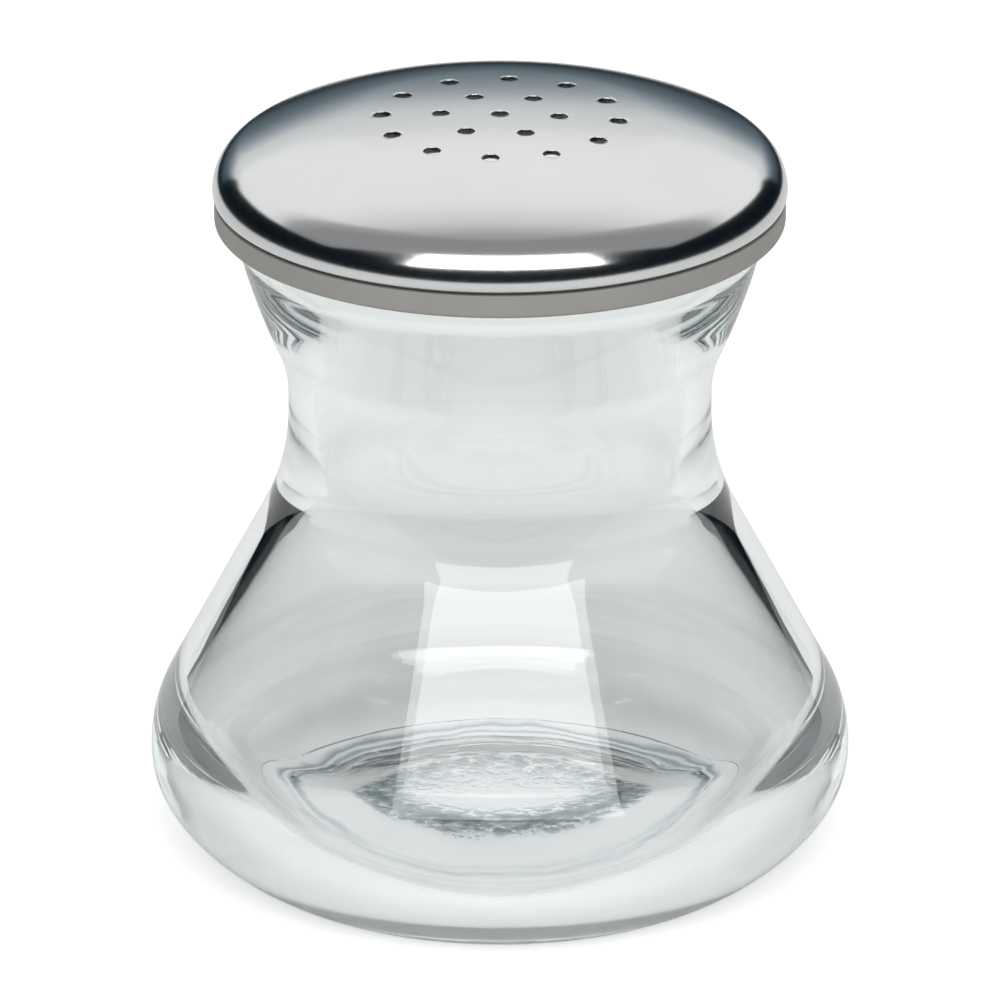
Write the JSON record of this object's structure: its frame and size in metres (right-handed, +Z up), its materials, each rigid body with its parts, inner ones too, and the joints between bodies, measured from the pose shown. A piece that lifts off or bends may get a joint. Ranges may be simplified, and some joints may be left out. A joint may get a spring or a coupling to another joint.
{
  "type": "table spice shaker",
  "caption": "Waisted clear glass table shaker with a domed, perforated steel cap on a push-in moulded liner with a soft seal.",
  "frame": {"origin": "centre of the foot, on the surface that the shaker stands on", "axes": "+Z up along the axis that every piece is turned about; -Y towards the viewer of the front"},
  "size_m": [0.0622, 0.0622, 0.068],
  "materials": {
    "glass": "clear pressed glass, fire-polished",
    "steel": "satin drawn stainless steel",
    "liner_plastic": "warm grey moulded plastic",
    "seal_rubber": "translucent silicone"
  },
  "bodies": {
    "jar": {"glass_jar": "glass"},
    "lid": {"cap_liner": "liner_plastic", "seal_ring": "seal_rubber"},
    "cap": {"dome_cap": "steel"}
  },
  "joints": [
    {"name": "lid_lift", "type": "slide", "parent": "jar", "child": "lid", "axis": [0, 0, 1], "range_m": [0, 0.03]},
    {"name": "cap_turn", "type": "hinge", "parent": "lid", "child": "cap", "pos_m": [0, 0, 0.0606], "axis": [0, 0, 1], "continuous": true}
  ]
}
